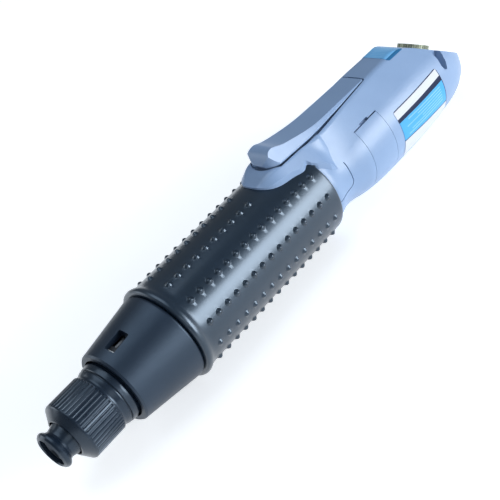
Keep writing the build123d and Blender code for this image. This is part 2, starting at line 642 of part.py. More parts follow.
with BuildPart() as outer_left:
    for x, r, zt, w, c in OUTER:
        with BuildSketch(Plane.YZ.offset(x)):
            with BuildLine():
                e = half_section(r, zt, w, c)
                Line(e[0], e[1])
                ThreePointArc(e[1], e[2], e[3])
                Line(e[3], e[4])
                ThreePointArc(e[4], e[5], e[6])
                Line(e[6], e[0])
            make_face()
    loft()
    # domed tail end, a small step smaller than the barrel
    with BuildSketch(Plane.XZ):
        with BuildLine():
            Polyline((-243.6, 0.0), (-234.5, 0.0), (-234.5, 14.5), (-236.6, 14.4))
            Spline((-236.6, 14.4), (-239.0, 12.4), (-241.4, 9.0), (-243.0, 4.8), (-243.6, 0.0), tangents=((-1, -0.35), (0, -1)))
        make_face()
    revolve(axis=Axis.X, revolution_arc=360)
    with BuildSketch(Plane.XZ):
        with Locations((-190.0, 0.0)):
            Rectangle(160.0, 90.0)
    extrude(amount=50.0, mode=Mode.SUBTRACT)
    # ridge rounded off into the sloping tail face
    with BuildSketch(Plane.XZ.offset(-30.0)):
        with BuildLine():
            Line((-200.0, 22.66), (-205.8, 22.25))
            ThreePointArc((-205.8, 22.25), (-212.06, 20.90), (-217.7, 17.86))
            Polyline((-217.7, 17.86), (-260.0, 17.86 - SLOPE_K * 42.3), (-260.0, 45.0), (-200.0, 45.0), (-200.0, 22.66))
        make_face()
    extrude(amount=60.0, mode=Mode.SUBTRACT)
    with BuildSketch(Plane.XY.offset(FLAT_Z)):
        with Locations((-195.0, 0.0)):
            Rectangle(140.0, 60.0)
    extrude(amount=-10.0, mode=Mode.SUBTRACT)

with BuildPart() as outer_right:
    mirror(outer_left.part, about=Plane.XZ)

with BuildPart() as inner_left:
    for x, r, zt, w, c in INNER:
        with BuildSketch(Plane.YZ.offset(x)):
            with BuildLine():
                e = half_section(r, zt, w, c)
                Line(e[0], e[1])
                ThreePointArc(e[1], e[2], e[3])
                Line(e[3], e[4])
                ThreePointArc(e[4], e[5], e[6])
                Line(e[6], e[0])
            make_face()
    loft(ruled=True)
    with BuildSketch(Plane.XZ.offset(-30.0)):
        with BuildLine():
            Polyline((-200.0, SLOPE_C - SLOPE_K * 200.0 - 4.2), (-260.0, SLOPE_C - SLOPE_K * 260.0 - 4.2), (-260.0, 45.0),
                     (-200.0, 45.0), close=True)
        make_face()
    extrude(amount=60.0, mode=Mode.SUBTRACT)
    with BuildSketch(Plane.XY.offset(FLAT_Z + 2.0)):
        with Locations((-195.0, 0.0)):
            Rectangle(140.0, 60.0)
    extrude(amount=-10.0, mode=Mode.SUBTRACT)

with BuildPart() as inner_right:
    mirror(inner_left.part, about=Plane.XZ)

# tongue of the housing that reaches forward over the grip, round the lever's tip
with BuildPart() as tongue_left:
    for x, r, zt, w in TONGUE:
        with BuildSketch(Plane.YZ.offset(x)):
            with BuildLine():
                e = half_section(r, zt, w, 2.6)
                Line(e[0], e[1])
                ThreePointArc(e[1], e[2], e[3])
                Line(e[3], e[4])
                ThreePointArc(e[4], e[5], e[6])
                Line(e[6], e[0])
            make_face()
    loft()
    with BuildSketch(Plane.XY):
        with BuildLine():
            Spline((-118.4, 0.0), (-118.9, 3.8), (-120.4, 6.3), (-123.0, 8.3), (-127.3, 9.7), (-132.3, 10.5),
                   (-138.0, 11.0), (-140.6, 11.7), tangents=((0, 1), (-0.6, 1)))
            Polyline((-140.6, 11.7), (-142.4, 13.0), (-147.0, 14.6), (-153.5, 14.6), (-153.5, 0.0), (-118.4, 0.0))
        make_face()
    extrude(amount=30.0, mode=Mode.INTERSECT)
    with BuildSketch(Plane.YZ.offset(SHELL_FRONT)):
        Circle(19.45)
    extrude(amount=30.0, mode=Mode.SUBTRACT)

with BuildPart() as tongue_right:
    mirror(tongue_left.part, about=Plane.XZ)

# space swept by the lever, with its floor
with BuildPart() as lever_space:
    with BuildSketch(Plane.XZ.offset(-9.0)):
        with BuildLine():
            Polyline((-120.0, 20.4), (-128.0, 20.4), (-136.0, 20.15), (-157.0, 20.0), (-170.0, 20.5), (-184.0, 21.2),
                     (-188.1, 21.3), (-188.1, 32.0), (-120.0, 32.0), close=True)
        make_face()
    extrude(amount=18.0)
    with BuildSketch(Plane.XY):
        with BuildLine():
            ThreePointArc((-130.2, -7.8), (-125.2, 0.0), (-130.2, 7.8))
            Polyline((-130.2, 7.8), (-150.0, 7.55), (-184.0, 6.15), (-187.4, 5.95), (-188.1, 5.3), (-188.1, -5.3),
                     (-187.4, -5.95), (-184.0, -6.15), (-150.0, -7.55), (-130.2, -7.8))
        make_face()
    extrude(amount=40.0, mode=Mode.INTERSECT)

# bosses inside the shells, kept within the outer form
with BuildPart() as bosses:
    with BuildSketch(Plane.XZ.offset(-20.0)):
        with Locations(*SCREWS):
            Circle(3.2)
    extrude(amount=40.0)
    with BuildSketch(Plane.XZ.offset(-8.2)):
        with Locations((-186.0, 17.2)):
            Rectangle(13.0, 6.0)
    extrude(amount=16.4)
    with BuildSketch(Plane.XZ.offset(-20.0)):
        with Locations((-223.8, 8.6)):
            Rectangle(8.4, 12.6)
    extrude(amount=11.0)
    with BuildSketch(Plane.XZ.offset(9.0)):
        with Locations((-223.8, 8.6)):
            Rectangle(8.4, 12.6)
    extrude(amount=11.0)

with BuildPart() as bosses_left:
    add(bosses.part)
    add(outer_left.part, mode=Mode.INTERSECT)

with BuildPart() as bosses_right:
    add(bosses.part)
    add(outer_right.part, mode=Mode.INTERSECT)

# band recess for the brush cover, open from BAND_AZ either side of the ridge
with BuildPart() as band_space:
    with BuildSketch(Plane.YZ.offset(BAND_REAR)):
        Circle(26.0)
        Circle(BAND_R, mode=Mode.SUBTRACT)
        with BuildLine():
            Polyline((0.0, 0.0), (40.0 * sin(radians(BAND_AZ)), 40.0 * cos(radians(BAND_AZ))), (0.0, 60.0),
                     (-40.0 * sin(radians(BAND_AZ)), 40.0 * cos(radians(BAND_AZ))), close=True)
        make_face(mode=Mode.SUBTRACT)
    extrude(amount=BAND_FRONT - BAND_REAR)

SOCKET_X = -226.9
socket_plane = Plane(origin=(SOCKET_X, 0.0, SLOPE_K * SOCKET_X + SLOPE_C), x_dir=(1, 0, SLOPE_K), z_dir=(-SLOPE_K, 0, 1))

BAIL_RECESS = [(-222.2, 16.0), (-221.9, 10.5), (-221.2, 7.4), (-221.9, 5.2), (-223.5, 4.8), (-224.8, 6.8), (-226.2, 10.6),
               (-226.6, 16.0)]

# everything cut out of the shells, as one tool
with BuildPart() as shell_cuts:
    with BuildSketch(Plane.YZ.offset(-146.2)):
        Circle(14.4)
    extrude(amount=13.2)
    add(lever_space.part, mode=Mode.ADD)
    add(band_space.part, mode=Mode.ADD)
    # brush cap holes
    with BuildSketch(Plane.XZ.offset(-25.0)):
        with Locations((-173.0, 0.0)):
            Circle(4.0)
    extrude(amount=50.0, mode=Mode.ADD)
    # start plunger hole and spring seat
    with BuildSketch(Plane.XY.offset(16.0)):
        with Locations((-151.0, 0.0)):
            Circle(1.28)
    extrude(amount=8.0, mode=Mode.ADD)
    with BuildSketch(Plane.XY.offset(19.2)):
        with Locations((-145.4, 0.0)):
            Circle(2.3)
    extrude(amount=8.0, mode=Mode.ADD)
    # slot and pin hole of the lever's hinge
    with BuildSketch(Plane.XZ.offset(-3.2)):
        with Locations((-185.15, 20.0)):
            Rectangle(6.4, 8.6)
    extrude(amount=6.4, mode=Mode.ADD)
    with BuildSketch(Plane.XZ.offset(-7.6)):
        with Locations(LEVER_PIVOT):
            Circle(1.25)
    extrude(amount=15.2, mode=Mode.ADD)
    # screw holes and head recesses, entered from -Y
    with BuildSketch(Plane.XZ.offset(-8.2)):
        with Locations(*SCREWS):
            Circle(1.28)
    extrude(amount=20.0, mode=Mode.ADD)
    with BuildSketch(Plane.XZ.offset(8.0)):
        with Locations(*SCREWS):
            Circle(2.45)
    extrude(amount=20.0, mode=Mode.ADD)
    # power socket hole
    with BuildSketch(socket_plane.offset(-9.0)):
        Circle(5.7)
    extrude(amount=12.0, mode=Mode.ADD)
    # recesses for the hanging bail, one each side of the tail, open to the sloping face
    with BuildSketch(Plane.XZ.offset(11.6)):
        with BuildLine():
            Polyline(*BAIL_RECESS, close=True)
        make_face()
    extrude(amount=12.0, mode=Mode.ADD)
    with BuildSketch(Plane.XZ.offset(-11.6)):
        with BuildLine():
            Polyline(*BAIL_RECESS, close=True)
        make_face()
    extrude(amount=-12.0, mode=Mode.ADD)
    # fingernail slots above both upper edges of the brush cover
    for side in (1, -1):
        with BuildSketch(Plane.YZ.offset(-174.5)):
            with BuildLine():
                Polyline(*[(side * r * sin(radians(a)), r * cos(radians(a)))
                           for r, a in ((BAND_R, 42.9), (26.0, 42.9), (26.0, 45.6), (BAND_R, 45.6))], close=True)
            make_face()
        extrude(amount=5.0, mode=Mode.ADD)
    # direction switch window with a shallow thumb recess, -Y side
    with BuildSketch(Plane.XZ.offset(14.0)):
        with Locations((-206.0, 0.0)):
            RectangleRounded(9.0, 3.4, 0.5)
    extrude(amount=10.0, mode=Mode.ADD)
    with BuildSketch(Plane.XZ.offset(18.9)):
        with Locations((-206.0, 0.0)):
            RectangleRounded(14.0, 7.0, 2.0)
    extrude(amount=10.0, mode=Mode.ADD)

# grooves round the thumb pads at the waist
with BuildPart() as pad_groove:
    with BuildSketch(Plane.XZ.offset(-22.0)):
        with Locations((-146.0, 3.2)):
            RectangleRounded(16.0, 12.6, 2.8)
            RectangleRounded(15.2, 11.8, 2.4, mode=Mode.SUBTRACT)
        with Locations((-139.0, 3.2)):
            Rectangle(7.6, 20.0, mode=Mode.SUBTRACT)
        with Locations((-146.0, 12.6)):
            Rectangle(24.0, 10.0, mode=Mode.SUBTRACT)
    extrude(amount=44.0)
    with BuildSketch(Plane.YZ.offset(-160.0)):
        Circle(15.75)
    extrude(amount=20.0, mode=Mode.SUBTRACT)

with BuildPart() as rear_shell_left:
    add(outer_left.part)
    add(tongue_left.part)
    add(inner_left.part, mode=Mode.SUBTRACT)
    add(bosses_left.part)
    # spigot into the grip tube
    with BuildSketch(Plane.YZ.offset(-142.0)):
        Circle(15.55)
        with Locations((-30.0, 0.0)):
            Rectangle(60.0, 60.0, mode=Mode.SUBTRACT)
    extrude(amount=8.0)
    # ledge that carries the circuit board
    with BuildSketch(Plane.YZ.offset(-218.0)):
        with Locations((14.6, -6.6)):
            Rectangle(4.0, 2.0)
    extrude(amount=30.0)
    add(shell_cuts.part, mode=Mode.SUBTRACT)
    add(pad_groove.part, mode=Mode.SUBTRACT)
rear_shell_left.part.label = "rear_shell_left"
export_step(rear_shell_left.part, "parts/rear_shell_left.step")

with BuildPart() as rear_shell_right:
    add(outer_right.part)
    add(tongue_right.part)
    add(inner_right.part, mode=Mode.SUBTRACT)
    add(bosses_right.part)
    # spigot into the grip tube
    with BuildSketch(Plane.YZ.offset(-142.0)):
        Circle(15.55)
        with Locations((30.0, 0.0)):
            Rectangle(60.0, 60.0, mode=Mode.SUBTRACT)
    extrude(amount=8.0)
    # ledge that carries the circuit board
    with BuildSketch(Plane.YZ.offset(-218.0)):
        with Locations((-14.6, -6.6)):
            Rectangle(4.0, 2.0)
    extrude(amount=30.0)
    add(shell_cuts.part, mode=Mode.SUBTRACT)
    add(pad_groove.part, mode=Mode.SUBTRACT)
rear_shell_right.part.label = "rear_shell_right"
export_step(rear_shell_right.part, "parts/rear_shell_right.step")

with BuildPart() as shell_screws:
    with BuildSketch(Plane.XZ.offset(8.0)):
        with Locations(*SCREWS):
            Circle(2.3)
    extrude(amount=1.9)
    with BuildSketch(Plane.XZ.offset(-7.8)):
        with Locations(*SCREWS):
            Circle(1.25)
    extrude(amount=15.8)
    with BuildSketch(Plane.XZ.offset(9.1)):
        with Locations(*SCREWS):
            Rectangle(3.0, 0.6)
            Rectangle(0.6, 3.0)
    extrude(amount=1.0, mode=Mode.SUBTRACT)
shell_screws.part.label = "shell_screws"
export_step(shell_screws.part, "parts/shell_screws.step")

with BuildPart() as outer_both:
    add(outer_left.part)
    add(outer_right.part)

with BuildPart() as brush_cover:
    with BuildSketch(Plane.YZ.offset(BAND_REAR + 0.15)):
        Circle(26.0)
        Circle(BAND_R + 0.06, mode=Mode.SUBTRACT)
        with BuildLine():
            Polyline((0.0, 0.0), (40.0 * sin(radians(BAND_AZ + 1.5)), 40.0 * cos(radians(BAND_AZ + 1.5))), (0.0, 60.0),
                     (-40.0 * sin(radians(BAND_AZ + 1.5)), 40.0 * cos(radians(BAND_AZ + 1.5))), close=True)
        make_face(mode=Mode.SUBTRACT)
    extrude(amount=BAND_FRONT - BAND_REAR - 0.3)
    add(outer_both.part, mode=Mode.INTERSECT)
brush_cover.part.label = "brush_cover"
export_step(brush_cover.part, "parts/brush_cover.step")

# ================================================================ start lever
LEVER_FLANK = [(-124.0, 29.6, 24.1, 7.4, 2.7), (-131.6, 29.2, 23.5, 7.4, 2.7), (-134.5, 28.1, 23.3, 7.35, 2.5),
               (-139.5, 26.6, 22.95, 7.3, 2.1), (-145.0, 25.4, 22.5, 7.25, 1.75), (-151.0, 24.3, 22.3, 7.15, 1.4),
               (-157.0, 23.6, 22.2, 6.9, 1.1), (-163.5, 23.3, 22.2, 6.65, 0.95), (-170.0, 23.1, 22.25, 6.4, 0.85),
               (-178.0, 22.85, 22.3, 6.05, 0.6), (-190.0, 22.6, 22.2, 5.55, 0.4)]
with BuildPart() as start_lever:
    with BuildSketch(Plane.XZ.offset(-9.0)):
        with BuildLine():
            lever_top = Spline((-126.1, 24.3), (-127.2, 26.9), (-129.2, 29.0), (-131.6, 29.2), (-134.5, 28.1),
                               (-139.5, 26.6), (-145.0, 25.4), (-151.0, 24.3), (-157.0, 23.6), (-163.5, 23.3),
                               (-170.0, 23.1), (-178.0, 22.85), (-188.2, 22.6))
            Polyline((-188.2, 22.6), (-188.2, 22.4), (-184.0, 22.3), (-170.0, 21.85), (-155.0, 21.7), (-148.0, 21.9),
                     (-136.0, 22.7), (-126.6, 23.3), (-126.1, 24.3))
        make_face()
    extrude(amount=18.0)
    with BuildSketch(Plane.XY):
        with BuildLine():
            ThreePointArc((-130.6, -7.4), (-125.8, 0.0), (-130.6, 7.4))
            Polyline((-130.6, 7.4), (-150.0, 7.2), (-184.0, 5.8), (-186.7, 5.6), (-187.3, 5.0), (-187.3, -5.0), (-186.7, -5.6),
                     (-184.0, -5.8), (-150.0, -7.2), (-130.6, -7.4))
        make_face()
    extrude(amount=40.0, mode=Mode.INTERSECT)
    # sloped flanks, widest at the finger end: x, top, foot of the slope, half width, inset at the top
    for side in (1, -1):
        for x, zt, zf, w, c in LEVER_FLANK:
            with BuildSketch(Plane.YZ.offset(x)):
                with BuildLine():
                    Polyline((side * (w + 0.3 * c), zf - 0.3 * (zt - zf)), (side * (w - 1.3 * c), zt + 0.3 * (zt - zf)),
                             (side * (w + 3.0), zt + 3.0), (side * (w + 3.0), zf), close=True)
                make_face()
        loft(ruled=True, mode=Mode.SUBTRACT)
    # hinge ear
    with BuildSketch(Plane.XZ.offset(-2.9)):
        with Locations(LEVER_PIVOT):
            Circle(2.2)
        with Locations((LEVER_PIVOT[0] + 0.6, 20.6)):
            Rectangle(3.4, 3.8)
    extrude(amount=5.8)
    with BuildSketch(Plane.XZ.offset(-4.0)):
        with Locations(LEVER_PIVOT):
            Circle(1.3)
    extrude(amount=8.0, mode=Mode.SUBTRACT)
start_lever.part.label = "start_lever"
export_step(start_lever.part, "parts/start_lever.step")

with BuildPart() as lever_pin:
    with BuildSketch(Plane.XZ.offset(-7.5)):
        with Locations(LEVER_PIVOT):
            Circle(1.25)
    extrude(amount=15.0)
lever_pin.part.label = "lever_pin"
export_step(lever_pin.part, "parts/lever_pin.step")

with BuildPart() as lever_spring:
    with BuildLine() as lever_coil:
        Helix(0.72, 2.1, 1.8, center=(-145.4, 0, 19.45), direction=(0, 0, 1))
    with BuildSketch(Plane(origin=lever_coil.line @ 0, z_dir=lever_coil.line % 0)):
        Circle(0.2)
    sweep(path=lever_coil.line, is_frenet=True)
lever_spring.part.label = "lever_spring"
export_step(lever_spring.part, "parts/lever_spring.step")

with BuildPart() as start_switch:
    with BuildSketch(Plane.XY.offset(13.9)):
        with Locations((-151.0, 0.0)):
            RectangleRounded(10.0, 6.0, 0.6)
    extrude(amount=3.0)
    with BuildSketch(Plane.XY.offset(15.2)):
        with Locations((-151.0, 0.0)):
            Circle(1.35)
    extrude(amount=3.0, mode=Mode.SUBTRACT)
start_switch.part.label = "start_switch"
export_step(start_switch.part, "parts/start_switch.step")

with BuildPart() as switch_plunger:
    with BuildSketch(Plane.XY.offset(16.8)):
        with Locations((-151.0, 0.0)):
            Circle(1.2)
    extrude(amount=4.78)
switch_plunger.part.label = "switch_plunger"
export_step(switch_plunger.part, "parts/switch_plunger.step")

# ================================================================ electrics
with BuildPart() as circuit_board:
    with BuildSketch(Plane.XY.offset(-5.5)):
        with Locations((-202.5, 0.0)):
            RectangleRounded(30.0, 30.0, 1.0)
    extrude(amount=1.5)
    with Locations((-194.0, 4.0, -2.7)):
        Box(7.0, 7.0, 2.6)
    with Locations((-194.0, -6.0, -3.0)):
        Box(5.0, 4.0, 2.0)
    with Locations((-206.0, 8.0, -1.5)):
        Cylinder(3.2, 5.0)
    with Locations((-213.0, 3.0, -2.5)):
        Box(4.0, 8.0, 3.0)
circuit_board.part.label = "circuit_board"
export_step(circuit_board.part, "parts/circuit_board.step")

with BuildPart() as direction_switch:
    with BuildSketch(Plane.XZ.offset(10.4)):
        with Locations((-206.0, -0.6)):
            Rectangle(12.0, 6.6)
    extrude(amount=4.4)
    with BuildSketch(Plane.XZ.offset(12.4)):
        with Locations((-206.0, 0.0)):
            Rectangle(7.4, 2.9)
    extrude(amount=4.0, mode=Mode.SUBTRACT)
direction_switch.part.label = "direction_switch"
export_step(direction_switch.part, "parts/direction_switch.step")

with BuildPart() as direction_knob:
    with BuildSketch(Plane.XZ.offset(12.6)):
        with Locations((-204.0, 0.0)):
            Rectangle(2.6, 2.6)
    extrude(amount=7.2)
    with BuildSketch(Plane.XZ.offset(19.1)):
        with Locations((-204.0, 0.0)):
            RectangleRounded(6.4, 5.2, 0.8)
    extrude(amount=1.3)
    with BuildSketch(Plane.XZ.offset(20.0)):
        with Locations((-205.6, 0.0), (-204.0, 0.0), (-202.4, 0.0)):
            Rectangle(0.6, 4.0)
    extrude(amount=1.0, mode=Mode.SUBTRACT)
direction_knob.part.label = "direction_knob"
export_step(direction_knob.part, "parts/direction_knob.step")

with BuildPart() as socket_shell:
    with BuildSketch(socket_plane):
        Circle(6.7)
        with PolarLocations(6.85, 40):
            Circle(0.28, mode=Mode.SUBTRACT)
    extrude(amount=1.9)
    with BuildSketch(socket_plane.offset(-8.0)):
        Circle(5.65)
    extrude(amount=8.0)
    with BuildSketch(socket_plane.offset(-8.5)):
        Circle(4.95)
    extrude(amount=7.7, mode=Mode.SUBTRACT)
    with BuildSketch(socket_plane.offset(-1.0)):
        Circle(4.6)
    extrude(amount=4.0, mode=Mode.SUBTRACT)
socket_shell.part.label = "socket_shell"
export_step(socket_shell.part, "parts/socket_shell.step")

with BuildPart() as socket_insert:
    with BuildSketch(socket_plane.offset(-8.0)):
        Circle(4.93)
        with PolarLocations(2.3, 4, start_angle=45):
            Circle(0.6, mode=Mode.SUBTRACT)
        with Locations((0.0, 4.8)):
            Rectangle(1.2, 1.6, mode=Mode.SUBTRACT)
    extrude(amount=7.18)
socket_insert.part.label = "socket_insert"
export_step(socket_insert.part, "parts/socket_insert.step")

# ================================================================ labels
with BuildPart() as skin_left:
    for x, r, zt, w, c in OUTER:
        with BuildSketch(Plane.YZ.offset(x)):
            with BuildLine():
                e = half_section(r + 0.15, zt + 0.15, w + 0.15, c + 0.15)
                Line(e[0], e[1])
                ThreePointArc(e[1], e[2], e[3])
                Line(e[3], e[4])
                ThreePointArc(e[4], e[5], e[6])
                Line(e[6], e[0])
            make_face()
    loft()
    add(outer_left.part, mode=Mode.SUBTRACT)

with BuildPart() as skin_right:
    mirror(skin_left.part, about=Plane.XZ)

with BuildPart() as rating_label:
    with BuildSketch(Plane.XZ.offset(-8.0)):
        with Locations((-200.9, -1.6)):
            RectangleRounded(32.4, 21.6, 1.2)
    extrude(amount=-16.0)
    add(skin_left.part, mode=Mode.INTERSECT)
rating_label.part.label = "rating_label"
export_step(rating_label.part, "parts/rating_label.step")

with BuildPart() as top_label_blank:
    with BuildSketch(Plane.XY.offset(15.0)):
        with Locations((-208.1, 0.0)):
            RectangleRounded(11.0, 14.2, 1.5)
    extrude(amount=12.0)
    with BuildSketch(Plane.XZ.offset(-30.0)):
        with BuildLine():
            Line((-200.0, 22.81), (-205.8, 22.40))
            ThreePointArc((-205.8, 22.40), (-212.06, 21.05), (-217.7, 18.01))
            Polyline((-217.7, 18.01), (-217.7, 45.0), (-200.0, 45.0), (-200.0, 22.81))
        make_face()
    extrude(amount=60.0, mode=Mode.SUBTRACT)

with BuildPart() as top_label_right:
    add(top_label_blank.part)
    add(skin_right.part, mode=Mode.INTERSECT)

with BuildPart() as top_label:
    add(top_label_blank.part)
    add(skin_left.part, mode=Mode.INTERSECT)
    add(top_label_right.part)
top_label.part.label = "top_label"
export_step(top_label.part, "parts/top_label.step")
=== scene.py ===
import json
import math

import bmesh
import bpy
import numpy as np
from mathutils import Matrix, Vector


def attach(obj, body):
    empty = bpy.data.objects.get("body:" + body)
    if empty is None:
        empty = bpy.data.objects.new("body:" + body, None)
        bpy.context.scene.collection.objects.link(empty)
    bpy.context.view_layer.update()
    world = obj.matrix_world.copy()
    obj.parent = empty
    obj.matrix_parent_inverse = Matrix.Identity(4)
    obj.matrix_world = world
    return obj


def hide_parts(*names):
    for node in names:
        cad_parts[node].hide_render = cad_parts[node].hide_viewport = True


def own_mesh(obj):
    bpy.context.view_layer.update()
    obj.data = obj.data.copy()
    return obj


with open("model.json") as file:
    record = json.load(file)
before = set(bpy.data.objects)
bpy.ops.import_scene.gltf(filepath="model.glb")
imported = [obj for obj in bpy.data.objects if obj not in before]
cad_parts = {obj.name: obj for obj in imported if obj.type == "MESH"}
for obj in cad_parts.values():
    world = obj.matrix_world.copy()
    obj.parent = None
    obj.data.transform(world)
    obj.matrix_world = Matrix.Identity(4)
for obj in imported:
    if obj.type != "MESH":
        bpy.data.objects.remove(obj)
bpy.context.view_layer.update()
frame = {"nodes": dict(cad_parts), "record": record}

MM = 0.001
nodes = frame["nodes"]
scene = bpy.context.scene

# ------------------------------------------------------------------ camera
cam_data = bpy.data.cameras.new("camera")
cam_data.lens = 74.75
cam_data.sensor_width = 36.0
cam_data.clip_start = 0.01
cam_data.clip_end = 20.0
cam = bpy.data.objects.new("camera", cam_data)
scene.collection.objects.link(cam)
right = Vector((-0.61216, 0.70831, -0.35151))
up = Vector((-0.63664, -0.17783, 0.75038))
back = right.cross(up)
cam.matrix_world = Matrix((
    (right.x, up.x, back.x, 0.07762),
    (right.y, up.y, back.y, 0.26846),
    (right.z, up.z, back.z, 0.21895),
    (0, 0, 0, 1)))
scene.camera = cam

scene.view_settings.view_transform = "Standard"
scene.view_settings.look = "None"
scene.view_settings.exposure = 0.0
scene.view_settings.gamma = 1.0


# ------------------------------------------------------------------ materials
class Mat:
    """A node material with one Principled shader and helpers for procedural detail."""

    def __init__(self, name):
        self.m = bpy.data.materials.new(name)
        self.m.use_nodes = True
        self.t = self.m.node_tree
        self.b = self.t.nodes["Principled BSDF"]
        self._coord = None

    def node(self, kind, **values):
        n = self.t.nodes.new(kind)
        for k, v in values.items():
            setattr(n, k, v)
        return n

    def link(self, a, b):
        self.t.links.new(a, b)

    def coord(self):
        if self._coord is None:
            self._coord = self.node("ShaderNodeTexCoord").outputs["Object"]
        return self._coord

    def noise(self, per_mm, detail=3.0, rough=0.5, stretch=None):
        n = self.node("ShaderNodeTexNoise")
        n.inputs["Scale"].default_value = per_mm * 1000.0
        n.inputs["Detail"].default_value = detail
        n.inputs["Roughness"].default_value = rough
        if stretch is not None:
            mp = self.node("ShaderNodeMapping")
            mp.inputs["Scale"].default_value = stretch
            self.link(self.coord(), mp.inputs["Vector"])
            self.link(mp.outputs["Vector"], n.inputs["Vector"])
        else:
            self.link(self.coord(), n.inputs["Vector"])
        return n.outputs["Fac"]

    def ramp(self, fac, stops, interp="LINEAR"):
        r = self.node("ShaderNodeValToRGB")
        r.color_ramp.interpolation = interp
        el = r.color_ramp.elements
        while len(el) > 1:
            el.remove(el[-1])
        el[0].position, el[0].color = stops[0][0], (*stops[0][1], 1.0)
        for p, c in stops[1:]:
            e = el.new(p)
            e.color = (*c, 1.0)
        self.link(fac, r.inputs["Fac"])
        return r.outputs["Color"]

    def span(self, fac, lo, hi, a=0.0, b=1.0):
        r = self.node("ShaderNodeMapRange")
        r.inputs["From Min"].default_value = lo
        r.inputs["From Max"].default_value = hi
        r.inputs["To Min"].default_value = a
        r.inputs["To Max"].default_value = b
        self.link(fac, r.inputs["Value"])
        return r.outputs["Result"]

    def math(self, op, a, b=None, clamp=False):
        n = self.node("ShaderNodeMath", operation=op, use_clamp=clamp)
        for i, v in enumerate((a, b)):
            if v is None:
                continue
            if isinstance(v, (int, float)):
                n.inputs[i].default_value = v
            else:
                self.link(v, n.inputs[i])
        return n.outputs["Value"]

    def mix(self, fac, a, b):
        n = self.node("ShaderNodeMix", data_type="RGBA")
        for key, v in (("Factor", fac), ("A", a), ("B", b)):
            sock = [s for s in n.inputs if s.name == key and s.type == ("VALUE" if key == "Factor" else "RGBA")][0]
            if isinstance(v, tuple):
                sock.default_value = (*v, 1.0)
            elif isinstance(v, (int, float)):
                sock.default_value = v
            else:
                self.link(v, sock)
        return [s for s in n.outputs if s.type == "RGBA"][0]

    def bump(self, heights):
        """heights: (socket, strength, distance in mm) applied one over the other."""
        prev = None
        for h, strength, dist in heights:
            n = self.node("ShaderNodeBump")
            n.inputs["Strength"].default_value = strength
            n.inputs["Distance"].default_value = dist * MM
            self.link(h, n.inputs["Height"])
            if prev is not None:
                self.link(prev, n.inputs["Normal"])
            prev = n.outputs["Normal"]
        self.link(prev, self.b.inputs["Normal"])

    def set(self, **values):
        names = {"color": "Base Color", "rough": "Roughness", "metal": "Metallic", "coat": "Coat Weight",
                 "coat_rough": "Coat Roughness", "spec": "Specular IOR Level", "sheen": "Sheen Weight",
                 "sheen_rough": "Sheen Roughness", "aniso": "Anisotropic", "sss": "Subsurface Weight",
                 "sss_scale": "Subsurface Scale", "ior": "IOR", "tint": "Specular Tint"}
        for k, v in values.items():
            s = self.b.inputs[names[k]]
            if isinstance(v, tuple):
                s.default_value = (*v, 1.0)
            elif isinstance(v, (int, float)):
                s.default_value = v
            else:
                self.link(v, s)
        return self


def plastic(name, dark, light, rough, grain, coat=0.0, coat_rough=0.2, spec=0.5, grain_mm=0.28, sheen=0.0, waver=0.06, tint=(1.0, 1.0, 1.0)):
    """Moulded plastic: fine eroded grain, soft flow shading, uneven gloss and faint scuffs."""
    k = Mat(name)
    fine = k.noise(1.0 / grain_mm, 4.0, 0.6)
    flow = k.noise(0.045, 3.0, 0.55)
    wipe = k.noise(0.32, 5.0, 0.65, stretch=(0.35, 1.0, 1.0))
    scuff = k.math("GREATER_THAN", k.noise(0.9, 6.0, 0.75, stretch=(0.2, 1.0, 1.0)), 0.715)
    tone = k.math("ADD", k.math("MULTIPLY", flow, 0.7), k.math("MULTIPLY", fine, 0.3))
    col = k.ramp(tone, [(0.32, dark), (0.68, light)])
    k.set(color=col)
    r = k.span(k.math("ADD", k.math("MULTIPLY", wipe, 0.6), k.math("MULTIPLY", fine, 0.4)), 0.3, 0.7, rough[0], rough[1])
    r = k.math("ADD", r, k.math("MULTIPLY", scuff, 0.08), clamp=True)
    k.set(rough=r, coat=coat, coat_rough=coat_rough, spec=spec, sheen=sheen, tint=tint)
    k.bump([(fine, grain, 0.05), (wipe, waver, 0.12)])
    return k.m


def metal(name, dark, light, rough, brushed=(1.0, 1.0, 1.0), bump=0.15):
    """Machined metal: turning lines, cloudy tone and uneven polish."""
    k = Mat(name)
    lines = k.noise(3.0, 4.0, 0.7, stretch=brushed)
    cloud = k.noise(0.25, 4.0, 0.6)
    pits = k.noise(4.5, 2.0, 0.5)
    col = k.ramp(k.math("ADD", k.math("MULTIPLY", lines, 0.5), k.math("MULTIPLY", cloud, 0.5)), [(0.3, dark), (0.7, light)])
    k.set(color=col, metal=1.0)
    k.set(rough=k.span(k.math("ADD", k.math("MULTIPLY", cloud, 0.6), k.math("MULTIPLY", lines, 0.4)), 0.3, 0.7, rough[0], rough[1]))
    k.bump([(lines, bump, 0.03), (pits, 0.08, 0.02)])
    return k.m


M = {}
M["black_plastic"] = plastic("black_plastic", (0.0035, 0.008, 0.016), (0.007, 0.013, 0.025), (0.24, 0.33), 0.12, coat=0.15, coat_rough=0.2, spec=0.6, waver=0.02, tint=(0.62, 0.80, 1.0))
M["nose_plastic"] = plastic("nose_plastic", (0.004, 0.009, 0.018), (0.009, 0.016, 0.030), (0.36, 0.46), 0.25, grain_mm=0.24, spec=0.75, waver=0.03, tint=(0.60, 0.78, 1.0))
M["black_rubber"] = plastic("black_rubber", (0.002, 0.007, 0.014), (0.005, 0.012, 0.024), (0.29, 0.34), 0.04, coat=0.35, coat_rough=0.22, grain_mm=0.5, spec=0.85, waver=0.015, tint=(0.62, 0.80, 1.0))
M["blue_plastic"] = plastic("blue_plastic", (0.185, 0.275, 0.435), (0.212, 0.310, 0.480), (0.30, 0.40), 0.18, coat=0.06, coat_rough=0.25, grain_mm=0.3, waver=0.04)
